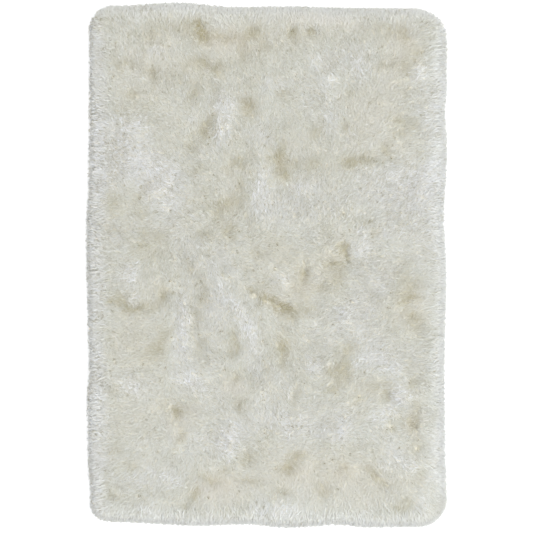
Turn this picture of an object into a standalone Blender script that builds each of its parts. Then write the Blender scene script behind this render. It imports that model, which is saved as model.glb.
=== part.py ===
"""A shag rug of about 1.2 x 1.7 m, lying flat: a lumpy slab of long pile with locks round its rim.

Metres, +Z up. The origin is on the floor under the middle of the rug, and +Y runs along its length.
"""
from collections import namedtuple
from math import cos, pi, radians, sin
from random import Random

import bmesh
import bpy
import numpy as np
from mathutils import Vector, noise
from mathutils.geometry import delaunay_2d_cdt

NAME = "shag_rug"

RUG_WIDTH = 1.167
RUG_LENGTH = 1.696
PILE_HEIGHT = 0.042

PILE_COLOUR = (0.61, 0.61, 0.54, 1.0)
PILE_ROUGHNESS = 0.8

# The corners, anticlockwise from the one at +X +Y.
Corner = namedtuple("Corner", "side_x side_y radius")
CORNERS = (
    Corner(+1, +1, 0.103),
    Corner(-1, +1, 0.079),
    Corner(-1, -1, 0.071),
    Corner(+1, -1, 0.088),
)

# How far each side stands out of the plain rectangle: `along` is the place on the side's own axis.
Wave = namedtuple("Wave", "along out")
RIGHT_WAVES = (
    Wave(-0.768, +0.005),
    Wave(-0.573, -0.001),
    Wave(-0.345, -0.003),
    Wave(-0.019, +0.003),
    Wave(+0.161, -0.004),
    Wave(+0.389, +0.005),
    Wave(+0.503, -0.001),
    Wave(+0.601, +0.005),
)
LEFT_WAVES = (
    Wave(-0.768, -0.007),
    Wave(-0.605, +0.001),
    Wave(-0.440, +0.003),
    Wave(-0.345, -0.002),
    Wave(+0.102, +0.006),
    Wave(+0.307, -0.001),
    Wave(+0.503, -0.004),
)
TOP_WAVES = (
    Wave(-0.491, +0.004),
    Wave(-0.289, +0.013),
    Wave(-0.099, -0.001),
    Wave(+0.077, +0.001),
    Wave(+0.292, -0.004),
    Wave(+0.487, -0.006),
)
BOTTOM_WAVES = (
    Wave(-0.523, -0.013),
    Wave(-0.217, +0.000),
    Wave(-0.067, -0.004),
    Wave(+0.064, +0.007),
    Wave(+0.233, -0.002),
    Wave(+0.324, +0.006),
    Wave(+0.487, +0.004),
)

# The section of the slab's rim, from the underside's edge up to the field of the pile. `lumps` is
# the share of the field's relief that a ring takes.
Ring = namedtuple("Ring", "inset height lumps")
RIM_RINGS = (
    Ring(0.020, 0.000, 0.0),
    Ring(0.016, 0.008, 0.0),
    Ring(0.022, 0.030, 0.3),
    Ring(0.046, PILE_HEIGHT, 1.0),
)

# Where the pile parts or is trodden down, and where it is heaped. `rise` is the height at the
# middle, `long` and `wide` the reach to each side, and `turn` the long way's angle from +X.
Relief = namedtuple("Relief", "x y long wide turn rise")
HOLLOWS = (
    Relief(-0.207, +0.765, 0.050, 0.032, 120, -0.014),
    Relief(-0.047, +0.752, 0.050, 0.032, 0, -0.009),
    Relief(+0.109, +0.765, 0.055, 0.030, 0, -0.009),
    Relief(+0.449, +0.748, 0.045, 0.035, 0, -0.006),
    Relief(-0.207, +0.660, 0.040, 0.030, 0, -0.008),
    Relief(-0.370, +0.628, 0.035, 0.035, 0, -0.008),
    Relief(-0.485, +0.657, 0.055, 0.035, 0, -0.006),
    Relief(-0.067, +0.526, 0.040, 0.032, 110, -0.014),
    Relief(-0.194, +0.458, 0.040, 0.030, 60, -0.014),
    Relief(+0.468, +0.451, 0.055, 0.045, 0, -0.007),
    Relief(+0.044, +0.337, 0.060, 0.034, 110, -0.014),
    Relief(+0.292, +0.344, 0.070, 0.032, 10, -0.011),
    Relief(-0.086, +0.337, 0.035, 0.035, 0, -0.008),
    Relief(-0.145, +0.203, 0.075, 0.032, 0, -0.009),
    Relief(-0.413, +0.070, 0.110, 0.055, 0, -0.009),
    Relief(+0.243, +0.053, 0.050, 0.034, 75, -0.013),
    Relief(+0.119, -0.035, 0.040, 0.034, 0, -0.008),
    Relief(+0.051, -0.133, 0.085, 0.032, -28, -0.015),
    Relief(-0.341, -0.100, 0.034, 0.032, 0, -0.013),
    Relief(-0.472, -0.120, 0.060, 0.030, -15, -0.009),
    Relief(+0.468, -0.094, 0.130, 0.050, 90, -0.009),
    Relief(-0.113, -0.240, 0.060, 0.030, 100, -0.009),
    Relief(+0.057, -0.263, 0.060, 0.032, 90, -0.011),
    Relief(+0.237, -0.335, 0.065, 0.038, 60, -0.011),
    Relief(-0.282, -0.475, 0.040, 0.040, 0, -0.010),
    Relief(+0.475, -0.498, 0.050, 0.032, 85, -0.012),
    Relief(-0.064, -0.626, 0.040, 0.034, 0, -0.008),
    Relief(+0.080, -0.642, 0.060, 0.034, 50, -0.008),
    Relief(+0.348, -0.688, 0.060, 0.032, -35, -0.008),
    Relief(-0.184, -0.697, 0.050, 0.034, 0, -0.007),
)
MOUNDS = (
    Relief(-0.387, +0.337, 0.110, 0.055, -50, 0.006),
    Relief(-0.139, +0.477, 0.090, 0.034, 90, 0.007),
    Relief(-0.021, +0.415, 0.070, 0.030, -35, 0.005),
    Relief(+0.181, +0.592, 0.090, 0.050, 70, 0.004),
    Relief(-0.008, +0.242, 0.090, 0.050, 110, 0.006),
    Relief(+0.452, +0.249, 0.090, 0.070, 90, 0.005),
    Relief(-0.445, -0.028, 0.045, 0.040, 90, 0.005),
    Relief(-0.272, -0.208, 0.120, 0.034, 95, 0.007),
    Relief(-0.194, -0.397, 0.070, 0.034, -50, 0.006),
    Relief(-0.041, -0.201, 0.070, 0.040, 110, 0.005),
    Relief(+0.344, -0.257, 0.080, 0.060, 0, 0.005),
    Relief(+0.452, -0.413, 0.040, 0.034, 0, 0.008),
    Relief(-0.122, -0.560, 0.055, 0.045, 60, 0.007),
    Relief(+0.160, -0.544, 0.110, 0.060, 0, 0.005),
    Relief(-0.341, -0.701, 0.065, 0.060, 0, 0.005),
)
TUFT_RISE = 0.005
TUFT_SIZE = 0.055

RIM_STATIONS = 160
LATTICE_STEP = 0.045
LATTICE_JITTER = 0.011
LATTICE_SEED = 8

# A lock from its root in the slab, over the shoulder, down to its tip on the floor. `height` is
# that of its flat underside, `girth` the share of its full size, `free` how freely it strays.
LockStation = namedtuple("LockStation", "inset height girth free")
LOCK_STATIONS = (
    LockStation(0.050, 0.024, 1.00, 0.0),
    LockStation(0.023, 0.027, 1.00, 0.1),
    LockStation(0.005, 0.004, 0.86, 0.6),
    LockStation(0.000, 0.000, 0.50, 1.0),
)
LOCK_COUNT = 212
LOCK_FILL = 0.93
LOCK_LEAST_FILL = 0.80
LOCK_THICKNESS = 0.013
# Neighbouring locks sweep the same way round the rim, and each strays a little from that.
LOCK_SWEEP = 0.012
LOCK_SWEEP_SIZE = 0.12
LOCK_STRAY = 0.002
LOCK_SHORTFALL = 0.007
LOCK_LIFT = 0.10
LOCK_SEED = 5

SHARP_ANGLE = 40
ARC_STEPS = 24
WELD_DISTANCE = 0.00001


def clear_scene():
    for old in list(bpy.data.objects):
        bpy.data.objects.remove(old, do_unlink=True)


def new_collection(name):
    collection = bpy.data.collections.new(name)
    bpy.context.scene.collection.children.link(collection)
    return collection


def link_guide(guide, collection):
    """Links an object that only helps to make the rug and isn't part of it."""
    collection.objects.link(guide)
    guide.hide_render = True
    guide.display_type = "WIRE"


def pile_material():
    material = bpy.data.materials.new("pile_white")
    material.use_nodes = True
    shader = material.node_tree.nodes["Principled BSDF"]
    shader.inputs["Base Color"].default_value = PILE_COLOUR
    shader.inputs["Roughness"].default_value = PILE_ROUGHNESS
    shader.inputs["Metallic"].default_value = 0.0
    return material


def plain_outline():
    """Points and outward normals of the plain rounded rectangle, anticlockwise and closed."""
    points = []
    normals = []
    for quarter, corner in enumerate(CORNERS):
        middle_x = corner.side_x * (RUG_WIDTH / 2 - corner.radius)
        middle_y = corner.side_y * (RUG_LENGTH / 2 - corner.radius)
        for angle in np.linspace(quarter, quarter + 1, ARC_STEPS + 1) * pi / 2:
            points.append((middle_x + corner.radius * cos(angle), middle_y + corner.radius * sin(angle)))
            normals.append((cos(angle), sin(angle)))
    return np.array(points + points[:1]), np.array(normals + normals[:1])


def wave_at(waves, place):
    """How far a side stands out at a place along it, eased from row to row."""
    if place <= waves[0].along:
        return waves[0].out
    for low, high in zip(waves, waves[1:]):
        if place <= high.along:
            share = (place - low.along) / (high.along - low.along)
            ease = (1 - cos(pi * share)) / 2
            return low.out + (high.out - low.out) * ease
    return waves[-1].out


def bulge_at(x, y, normal_x, normal_y):
    """How far the outline stands out of the plain one. A corner blends the waves of its two sides."""
    beside = wave_at(RIGHT_WAVES if normal_x > 0 else LEFT_WAVES, y)
    ahead = wave_at(TOP_WAVES if normal_y > 0 else BOTTOM_WAVES, x)
    return normal_x**2 * beside + normal_y**2 * ahead


class Outline:
    """The rug's uneven outline, met by the distance walked along it."""

    def __init__(self):
        self.points, self.normals = plain_outline()
        steps = np.linalg.norm(np.diff(self.points, axis=0), axis=1)
        self.walked = np.concatenate(([0.0], np.cumsum(steps)))
        self.length = self.walked[-1]

    def normal(self, distance):
        distance = distance % self.length
        normal_x = np.interp(distance, self.walked, self.normals[:, 0])
        normal_y = np.interp(distance, self.walked, self.normals[:, 1])
        return Vector((normal_x, normal_y)).normalized()

    def plain(self, distance):
        """The point on the plain outline."""
        distance = distance % self.length
        x = np.interp(distance, self.walked, self.points[:, 0])
        y = np.interp(distance, self.walked, self.points[:, 1])
        return Vector((x, y))

    def bulge(self, distance):
        return bulge_at(*self.plain(distance), *self.normal(distance))

    def inside(self, distance, inset):
        """The point at this inset from the uneven outline."""
        return self.plain(distance) + self.normal(distance) * (self.bulge(distance) - inset)

    def room(self, distance, pitch, inset):
        """The width that a pitch centred here leaves at this inset, less where the outline turns."""
        here = self.normal(distance)
        sharper_turn = max(here.angle(self.normal(distance + side * pitch / 2)) for side in (-1, 1))
        return pitch - 2 * (inset - self.bulge(distance)) * sharper_turn


def depth_inside(x, y):
    """How far a point lies inside the plain rounded rectangle."""
    corner = next(c for c in CORNERS if c.side_x * x >= 0 and c.side_y * y >= 0)
    past_x = abs(x) - (RUG_WIDTH / 2 - corner.radius)
    past_y = abs(y) - (RUG_LENGTH / 2 - corner.radius)
    if past_x > 0 and past_y > 0:
        return corner.radius - (past_x**2 + past_y**2) ** 0.5
    return corner.radius - max(past_x, past_y)


def lumps_at(x, y):
    """The rise or fall of the pile's top at a point: hollows, mounds and the tufts' own lumps."""
    rise = TUFT_RISE * noise.noise(Vector((x, y, 0.0)) / TUFT_SIZE)
    for row in HOLLOWS + MOUNDS:
        turn = radians(row.turn)
        off_x = x - row.x
        off_y = y - row.y
        along = (off_x * cos(turn) + off_y * sin(turn)) / row.long
        across = (off_y * cos(turn) - off_x * sin(turn)) / row.wide
        rise += row.rise * np.exp(-(along**2) - across**2)
    return float(rise)


def lattice_points(least_depth):
    """Points of a jittered lattice of equal triangles that lie this deep inside the outline."""
    jitter = Random(LATTICE_SEED)
    row_step = LATTICE_STEP * 3**0.5 / 2
    rows = int(RUG_LENGTH / row_step / 2) + 1
    columns = int(RUG_WIDTH / LATTICE_STEP / 2) + 1
    points = []
    for row in range(-rows, rows + 1):
        for column in range(-columns, columns + 1):
            x = (column + (row % 2) / 2) * LATTICE_STEP + jitter.uniform(-1, 1) * LATTICE_JITTER
            y = row * row_step + jitter.uniform(-1, 1) * LATTICE_JITTER
            if depth_inside(x, y) > least_depth:
                points.append(Vector((x, y)))
    return points


def make_slab(outline, material, collection):
    """The lumpy slab: a flat underside, a rounded rim lofted ring by ring, and a lumpy top."""
    mesh = bmesh.new()
    rings = []
    for ring in RIM_RINGS:
        loop = []
        for station in range(RIM_STATIONS):
            place = outline.inside(station * outline.length / RIM_STATIONS, ring.inset)
            height = ring.height + ring.lumps * lumps_at(place.x, place.y)
            loop.append(mesh.verts.new((place.x, place.y, height)))
        rings.append(loop)
    mesh.faces.new(reversed(rings[0]))
    for lower, upper in zip(rings, rings[1:]):
        for here in range(RIM_STATIONS):
            there = (here + 1) % RIM_STATIONS
            mesh.faces.new((lower[here], lower[there], upper[there], upper[here]))
    fill_top(mesh, rings[-1])
    bmesh.ops.triangulate(mesh, faces=mesh.faces[:])
    data = bpy.data.meshes.new(NAME)
    mesh.to_mesh(data)
    mesh.free()
    data.materials.append(material)
    data.shade_smooth()
    data.set_sharp_from_angle(angle=radians(SHARP_ANGLE))
    slab = bpy.data.objects.new(NAME, data)
    collection.objects.link(slab)
    return slab


def fill_top(mesh, rim):
    """Closes the top inside the innermost ring, through a lattice of points at their own heights."""
    inner = lattice_points(RIM_RINGS[-1].inset + LATTICE_STEP / 2)
    flat = [vert.co.xy for vert in rim] + inner
    edge = list(range(len(rim)))
    inside_only = 1
    filled = delaunay_2d_cdt(flat, [], [edge], inside_only, WELD_DISTANCE)
    places = filled[0]
    faces = filled[2]
    verts = list(rim)
    for x, y in places[len(rim) :]:
        verts.append(mesh.verts.new((x, y, PILE_HEIGHT + lumps_at(x, y))))
    for face in faces:
        mesh.faces.new([verts[index] for index in face])


def lock_section(pitch, collection):
    """The section of a lock: three sides, flat below, as wide as one pitch of the rim."""
    section = bpy.data.curves.new("lock_section", "CURVE")
    section.dimensions = "2D"
    spline = section.splines.new("POLY")
    spline.use_cyclic_u = True
    corners = ((-pitch / 2, 0.0), (pitch / 2, 0.0), (0.0, LOCK_THICKNESS))
    spline.points.add(len(corners) - 1)
    for point, (across, up) in zip(spline.points, corners):
        point.co = (across, up, 0.0, 1.0)
    guide = bpy.data.objects.new("lock_section", section)
    link_guide(guide, collection)
    return guide


def lock_path(outline, pitch, index, chance):
    """The points of one lock and its size at each, as a share of the section."""
    distance = index * pitch
    root = outline.plain(distance)
    sweep = LOCK_SWEEP * noise.noise(Vector((root.x, root.y, 0.0)) / LOCK_SWEEP_SIZE)
    stray = sweep + LOCK_STRAY * chance.uniform(-1, 1)
    shortfall = LOCK_SHORTFALL * chance.uniform(0, 1)
    lift = 1 + LOCK_LIFT * chance.uniform(-1, 1)
    fill = chance.uniform(LOCK_LEAST_FILL, LOCK_FILL)
    path = []
    for station in LOCK_STATIONS:
        inset = station.inset + shortfall * station.free
        place = outline.inside(distance + stray * station.free, inset)
        share = station.girth * fill * outline.room(distance, pitch, inset) / pitch
        path.append(((place.x, place.y, station.height * lift), share))
    return path


def make_locks(outline, collection):
    """All the locks as one object: tapered strands round the rim, apart from each other."""
    chance = Random(LOCK_SEED)
    pitch = outline.length / LOCK_COUNT
    curve = bpy.data.curves.new("lock_paths", "CURVE")
    curve.dimensions = "3D"
    curve.twist_mode = "Z_UP"
    curve.bevel_mode = "OBJECT"
    curve.bevel_object = lock_section(pitch, collection)
    curve.use_fill_caps = True
    for index in range(LOCK_COUNT):
        path = lock_path(outline, pitch, index, chance)
        spline = curve.splines.new("POLY")
        spline.points.add(len(path) - 1)
        for point, (place, share) in zip(spline.points, path):
            point.co = (*place, 1.0)
            point.radius = share
    paths = bpy.data.objects.new("lock_paths", curve)
    collection.objects.link(paths)
    evaluated = paths.evaluated_get(bpy.context.evaluated_depsgraph_get())
    data = bpy.data.meshes.new_from_object(evaluated)
    welded = bmesh.new()
    welded.from_mesh(data)
    bmesh.ops.remove_doubles(welded, verts=welded.verts[:], dist=WELD_DISTANCE)
    bmesh.ops.recalc_face_normals(welded, faces=welded.faces[:])
    welded.to_mesh(data)
    welded.free()
    locks = bpy.data.objects.new("locks", data)
    locks.matrix_world = paths.matrix_world
    link_guide(locks, collection)
    bpy.data.objects.remove(paths)
    return locks


def fuse(slab, locks):
    """Joins the locks to the slab by their roots."""
    union = slab.modifiers.new("fused_locks", "BOOLEAN")
    union.operation = "UNION"
    union.solver = "EXACT"
    union.object = locks


def centre_on_floor(objects):
    """Moves the objects together so that the middle of their box is over the origin."""
    corners = np.array([vert.co.xy for item in objects for vert in item.data.vertices])
    middle = (corners.min(axis=0) + corners.max(axis=0)) / 2
    for item in objects:
        item.location = (-middle[0], -middle[1], 0.0)


def main():
    clear_scene()
    rug_collection = new_collection(NAME)
    guide_collection = new_collection(NAME + "_guides")
    outline = Outline()
    slab = make_slab(outline, pile_material(), rug_collection)
    locks = make_locks(outline, guide_collection)
    fuse(slab, locks)
    centre_on_floor((slab, locks))


main()
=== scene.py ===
"""The looks of the shag rug: long white pile, laid over strand by strand on matted fibre and a cloth.

Metres, +Z up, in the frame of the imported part. +Y runs along the rug's length.
"""

from collections import namedtuple
from math import radians

import bpy
import numpy as np
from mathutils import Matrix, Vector
from mathutils.geometry import delaunay_2d_cdt
from mathutils.kdtree import KDTree


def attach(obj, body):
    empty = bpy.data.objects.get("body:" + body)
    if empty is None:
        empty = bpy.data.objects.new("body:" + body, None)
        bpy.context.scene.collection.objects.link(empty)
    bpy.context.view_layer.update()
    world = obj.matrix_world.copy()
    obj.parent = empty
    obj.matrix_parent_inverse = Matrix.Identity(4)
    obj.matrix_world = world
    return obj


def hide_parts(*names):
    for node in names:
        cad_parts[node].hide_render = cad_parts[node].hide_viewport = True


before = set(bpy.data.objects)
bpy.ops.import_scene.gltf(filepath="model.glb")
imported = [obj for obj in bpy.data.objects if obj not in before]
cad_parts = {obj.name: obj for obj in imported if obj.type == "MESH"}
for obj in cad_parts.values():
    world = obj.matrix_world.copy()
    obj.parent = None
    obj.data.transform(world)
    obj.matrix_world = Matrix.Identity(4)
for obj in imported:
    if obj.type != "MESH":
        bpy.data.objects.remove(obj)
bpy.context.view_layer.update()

# ------------------------ sizes, as in the part's source

RUG_WIDTH = 1.167
RUG_LENGTH = 1.696
PILE_HEIGHT = 0.042

# The corners' radii, by the sides that they join.
RADIUS_RIGHT_TOP = 0.103
RADIUS_LEFT_TOP = 0.079
RADIUS_LEFT_BOTTOM = 0.071
RADIUS_RIGHT_BOTTOM = 0.088

# How far each side stands out of the plain rectangle, in rows of a place on its own axis and how far.
RIGHT_WAVES = (
    (-0.768, 0.005), (-0.573, -0.001), (-0.345, -0.003), (-0.019, 0.003), (0.161, -0.004),
    (0.389, 0.005), (0.503, -0.001), (0.601, 0.005),
)
LEFT_WAVES = (
    (-0.768, -0.007), (-0.605, 0.001), (-0.440, 0.003), (-0.345, -0.002), (0.102, 0.006),
    (0.307, -0.001), (0.503, -0.004),
)
TOP_WAVES = (
    (-0.491, 0.004), (-0.289, 0.013), (-0.099, -0.001), (0.077, 0.001), (0.292, -0.004), (0.487, -0.006),
)
BOTTOM_WAVES = (
    (-0.523, -0.013), (-0.217, 0.000), (-0.067, -0.004), (0.064, 0.007), (0.233, -0.002),
    (0.324, 0.006), (0.487, 0.004),
)
WAVES_FADE = 0.20

# The rim's rounding, a superellipse from the floor to the field of the pile.
RIM_REACH = 0.040
RIM_POWER = 1.75
RIM_STEPS = 64

# Where the pile parts or is trodden down, and where it is heaped. A hollow is lowered and gets
# painted shade, darker and warmer, and a mound is raised and gets a painted highlight, paler and
# cooler. `long` and `wide` are the reach to each side in millimetres, `turn` the long way's angle
# from +X in degrees, and `shade` how deep the middle is and how much painted shade it gets, in
# hundredths: 100 for the deepest hollow, less than 0 for a mound.
Patch = namedtuple("Patch", "x y long wide turn shade")
MM = 0.001


def patches(rows, weight=1.0):
    made = []
    for x, y, long, wide, turn, shade in rows:
        made.append(Patch(x * MM, y * MM, long * MM, wide * MM, turn, weight * (shade / 100)))
    return made


HOLLOWS = (
    (-214, 765, 40, 22, -65, 85), (-266, 778, 52, 23, 0, 42), (-364, 778, 46, 33, 0, 32),
    (-387, 738, 26, 13, 20, 35), (-468, 657, 39, 16, 15, 42), (-135, 745, 59, 16, 0, 42),
    (-44, 758, 29, 23, 0, 60), (-77, 709, 46, 16, 90, 35), (-8, 719, 26, 20, 90, 35),
    (-207, 663, 39, 16, -25, 52), (-158, 641, 23, 16, -70, 52), (-256, 654, 33, 16, 0, 32),
    (-370, 627, 29, 16, 80, 58), (-432, 562, 36, 13, 8, 45), (-237, 569, 39, 16, 75, 45),
    (-178, 582, 26, 13, -70, 32), (-67, 520, 38, 26, -60, 68), (-194, 455, 40, 22, 60, 68),
    (-246, 386, 23, 20, 45, 45), (-86, 337, 26, 20, 0, 50), (-224, 321, 33, 16, 0, 38),
    (-465, 425, 16, 10, -10, 35), (-550, 807, 13, 13, 0, 40), (86, 761, 23, 16, 90, 68),
    (139, 761, 16, 16, 0, 72), (410, 771, 59, 26, 0, 32), (452, 745, 26, 20, -60, 52),
    (485, 696, 23, 20, 0, 42), (449, 647, 33, 23, -70, 36), (383, 657, 26, 16, 0, 40),
    (47, 565, 20, 16, 0, 42), (263, 565, 20, 13, -45, 35), (429, 477, 23, 20, 0, 42),
    (475, 461, 39, 26, 0, 36), (429, 432, 20, 13, 0, 42), (152, 438, 29, 20, 45, 36),
    (253, 455, 26, 16, -20, 36), (295, 350, 42, 18, 0, 62), (272, 331, 33, 13, 0, 42),
    (344, 347, 26, 16, 0, 36), (387, 379, 26, 20, 90, 42), (41, 340, 46, 25, -80, 64),
    (47, 386, 33, 13, 90, 35), (90, 334, 20, 16, 0, 42), (145, 337, 20, 20, 0, 40),
    (60, 298, 23, 16, 0, 42), (-511, 213, 33, 26, 90, 36), (-419, 226, 16, 16, 0, 34),
    (-406, 167, 16, 13, 90, 36), (-514, 125, 26, 13, 0, 42), (-481, 109, 23, 13, -45, 36),
    (-403, 109, 26, 20, 0, 34), (-348, 92, 33, 26, 0, 36), (-406, 66, 20, 16, 0, 42),
    (-354, 37, 39, 16, 0, 32), (-338, -100, 32, 18, 80, 62), (-472, -120, 34, 17, -50, 60),
    (-507, -110, 16, 13, 90, 50), (-429, -139, 26, 10, 0, 50), (-396, -136, 46, 16, 15, 40),
    (-517, -237, 13, 10, 0, 35), (-338, -224, 29, 23, 45, 40), (-370, -263, 29, 20, 0, 36),
    (-243, -22, 23, 13, -80, 36), (-191, 30, 23, 16, -50, 42), (-207, 102, 26, 16, 20, 42),
    (-152, 200, 42, 20, 0, 55), (-165, 167, 20, 16, 90, 42), (-103, 220, 46, 20, 0, 32),
    (-86, 265, 20, 13, 90, 40), (-119, 112, 39, 20, -70, 48), (-60, 167, 46, 16, -45, 32),
    (-31, 43, 23, 13, -25, 55), (-204, -110, 42, 26, 90, 34), (-214, -58, 33, 13, -70, 32),
    (-227, -169, 33, 13, -80, 32), (-214, -250, 29, 16, -80, 42), (-106, -240, 39, 16, -82, 58),
    (-44, -87, 26, 13, -45, 52), (-2, -107, 23, 13, -20, 60), (60, -136, 46, 17, -26, 98),
    (119, -22, 33, 16, 85, 55), (181, -74, 20, 16, -30, 46), (250, 63, 26, 14, -75, 70),
    (259, 27, 20, 10, 90, 60), (210, 14, 26, 13, 10, 55), (233, -32, 55, 29, 90, 38),
    (142, -143, 33, 16, 0, 32), (83, -172, 26, 13, 0, 36), (250, 171, 10, 10, 0, 40),
    (96, 171, 13, 10, 0, 36), (334, 148, 13, 10, 0, 48), (351, 115, 13, 13, 0, 50),
    (393, 259, 16, 13, 0, 32), (351, -100, 26, 20, -45, 42), (419, -19, 20, 13, 0, 42),
    (445, 11, 26, 16, 0, 32), (462, -64, 39, 33, 90, 36), (475, -103, 26, 16, 0, 50),
    (445, -110, 26, 16, 90, 36), (472, -156, 16, 13, 0, 48), (488, -195, 33, 26, 90, 34),
    (54, -257, 33, 23, 90, 60), (51, -309, 39, 16, -85, 46), (266, -267, 26, 26, 0, 36),
    (-364, -286, 39, 26, 0, 36), (-511, -397, 23, 16, 90, 38), (-116, -286, 20, 16, 0, 40),
    (-207, -302, 26, 13, -60, 32), (-96, -358, 20, 16, 90, 52), (-5, -338, 33, 16, 90, 32),
    (-90, -459, 23, 16, -60, 52), (-276, -466, 28, 18, 10, 36), (-292, -485, 30, 22, 90, 40),
    (-325, -459, 33, 13, -30, 32), (-279, -544, 23, 16, 70, 46), (-504, -593, 33, 20, 0, 36),
    (-436, -648, 26, 16, 0, 36), (-60, -626, 26, 20, 70, 56), (-135, -658, 16, 13, 0, 36),
    (-184, -697, 39, 13, -12, 46), (-60, -697, 52, 10, -10, 36), (-237, -746, 23, 16, 35, 55),
    (-263, -779, 16, 10, 0, 42), (-511, -746, 23, 16, -45, 42), (246, -335, 50, 30, 80, 62),
    (214, -397, 20, 13, 0, 52), (201, -338, 20, 16, 90, 42), (90, -423, 46, 13, 90, 34),
    (364, -387, 46, 20, 0, 36), (295, -420, 20, 16, 90, 42), (390, -420, 16, 13, 0, 52),
    (468, -316, 33, 26, 0, 32), (481, -378, 20, 20, 0, 36), (481, -508, 36, 18, 88, 62),
    (501, -462, 20, 13, 90, 46), (406, -528, 13, 13, 0, 58), (488, -593, 13, 10, 90, 46),
    (103, -616, 29, 16, 15, 50), (73, -652, 23, 16, 70, 55), (47, -658, 20, 20, 0, 36),
    (165, -639, 16, 13, 0, 36), (253, -648, 16, 13, 40, 36), (354, -684, 42, 16, -40, 52),
    (383, -714, 26, 20, 0, 34), (501, -678, 26, 20, 40, 32), (44, -736, 26, 13, 0, 50),
    (184, -733, 33, 26, 0, 38), (436, -782, 33, 13, 0, 44), (458, -756, 20, 16, 0, 42),
)
MOUNDS = (
    (-452, 455, 36, 29, 0, -60), (-387, 334, 85, 39, -10, -38), (-132, 523, 52, 29, 90, -38),
    (-148, 438, 39, 13, 90, -45), (-246, 474, 26, 20, 90, -20), (-364, 706, 23, 20, 0, -34),
    (158, 667, 33, 33, 0, -26), (197, 611, 26, 20, 0, -30), (305, 654, 46, 33, 90, -26),
    (494, 624, 29, 23, 60, -50), (18, 598, 26, 13, 0, -26), (194, 503, 65, 13, 85, -25),
    (272, 441, 29, 13, 60, -24), (-331, 242, 72, 46, 90, -38), (-266, -201, 98, 16, 92, -60),
    (-240, -378, 59, 23, -22, -48), (-445, -387, 59, 26, 0, -32), (-445, -28, 39, 26, 90, -40),
    (-439, -113, 16, 13, 90, -40), (-21, 249, 82, 23, 90, -34), (-171, -12, 98, 16, -66, -28),
    (-100, -146, 46, 16, -55, -46), (-54, -211, 52, 23, -75, -38), (116, 259, 33, 26, 0, -22),
    (227, 180, 16, 13, 0, -34), (318, 115, 16, 13, 0, -48), (449, 282, 117, 72, 0, -26),
    (436, 131, 78, 59, 0, -16), (312, 53, 26, 26, 0, -28), (253, -156, 39, 20, 65, -45),
    (344, -302, 78, 29, 0, -24), (426, -332, 26, 26, 0, -26), (445, -417, 33, 23, 0, -75),
    (406, -466, 33, 13, 60, -34), (57, -45, 29, 23, 0, -30), (64, -413, 26, 13, 90, -34),
    (155, -319, 26, 20, 90, -30), (70, -547, 26, 16, 90, -34), (-122, -583, 46, 29, 80, -60),
    (-100, -534, 26, 23, 0, -25), (-331, -688, 65, 23, -25, -28), (256, -515, 52, 29, 90, -34),
    (364, -488, 42, 36, 0, -18), (462, -645, 65, 23, -28, -26), (380, -655, 26, 13, 0, -28),
    (-396, -795, 26, 20, 0, -26), (44, -789, 59, 20, 0, -28), (501, -779, 33, 20, 90, -28),
    (-150, 800, 300, 80, 0, -5),
)
# Broad swells and dips of the pile, in rows as above, with painted shade in the dips and painted light
# on the swells.
SWELLS = (
    (116, -50, 62, 36, 80, 36), (-246, 223, 55, 45, 0, 26), (-330, 345, 55, 30, -50, 15),
    (465, -156, 60, 28, 0, 30), (85, -680, 150, 40, 0, 16), (-57, 790, 55, 40, 0, 20),
    (77, 440, 90, 30, -70, 16), (240, 330, 50, 40, 0, 15), (-116, 317, 40, 30, 0, 15),
    (-480, -170, 70, 50, 60, 14), (-350, -355, 60, 50, 0, 12), (573, -770, 60, 35, 60, 30),
    (-30, -100, 85, 25, -35, 12), (-569, 670, 50, 28, 90, 20), (573, 324, 40, 20, 90, 20),
    (-490, 170, 50, 35, 0, 20), (340, 200, 50, 35, 0, 12), (-175, 477, 55, 38, 90, -25),
    (540, 540, 75, 50, 0, -25), (256, 689, 70, 45, 0, -20), (200, 528, 65, 50, 90, -24),
    (-197, -430, 50, 40, 0, -18), (-300, -535, 100, 60, 0, -12), (387, -557, 60, 35, 0, -28),
    (105, -530, 85, 35, -15, -18), (400, -730, 60, 45, 90, -15), (290, -30, 90, 30, 90, -16),
    (-315, -20, 80, 30, 90, -14), (-180, -80, 50, 20, 90, -14), (420, -340, 80, 75, 0, -14),
    (-482, 380, 90, 45, 90, -44), (-380, 600, 100, 30, -30, -13), (-445, -700, 100, 30, -10, -20),
    (-445, 800, 50, 35, 0, -12), (500, 785, 40, 30, 0, -22), (-80, 200, 40, 30, 90, -12),
    (150, 100, 30, 22, 0, -12), (-565, 630, 80, 25, 90, 22), (-130, 735, 62, 28, 0, 32),
    (540, 464, 50, 35, 90, -18), (575, -800, 45, 30, 45, 24), (-28, -800, 55, 30, 0, -22),
    (64, 56, 60, 30, -35, 20), (15, 14, 40, 30, 0, 14), (142, -100, 50, 28, 60, 20),
    (-535, -45, 75, 30, 90, 18), (-125, 338, 42, 30, 70, 18), (383, 825, 90, 25, 0, -15),
    (-400, 815, 70, 30, 0, -15), (-290, -250, 55, 25, 60, -15), (-308, -165, 45, 22, 90, -14),
    (262, -668, 60, 40, 0, 26), (-415, -300, 55, 30, -45, 15), (40, -505, 45, 35, 0, -12),
    (190, -535, 50, 30, 0, -22), (290, -340, 35, 30, 90, -12), (-135, -705, 50, 40, 90, 12),
    (-135, -372, 30, 24, 0, 14), (190, 350, 40, 35, 90, 12), (385, 268, 50, 30, 30, 10),
    (-103, 545, 38, 22, 90, 12), (-430, 445, 60, 30, 90, -10), (-20, 450, 45, 25, -40, -10),
)
HOLLOW_WEIGHT = 1.36
MOUND_WEIGHT = 1.70
PATCHES = patches(HOLLOWS, HOLLOW_WEIGHT) + patches(MOUNDS, MOUND_WEIGHT) + patches(SWELLS)
PATCH_REACH = 2.6
PATCH_POWER = 1.12
RELIEF_RISE = -0.013

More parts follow.
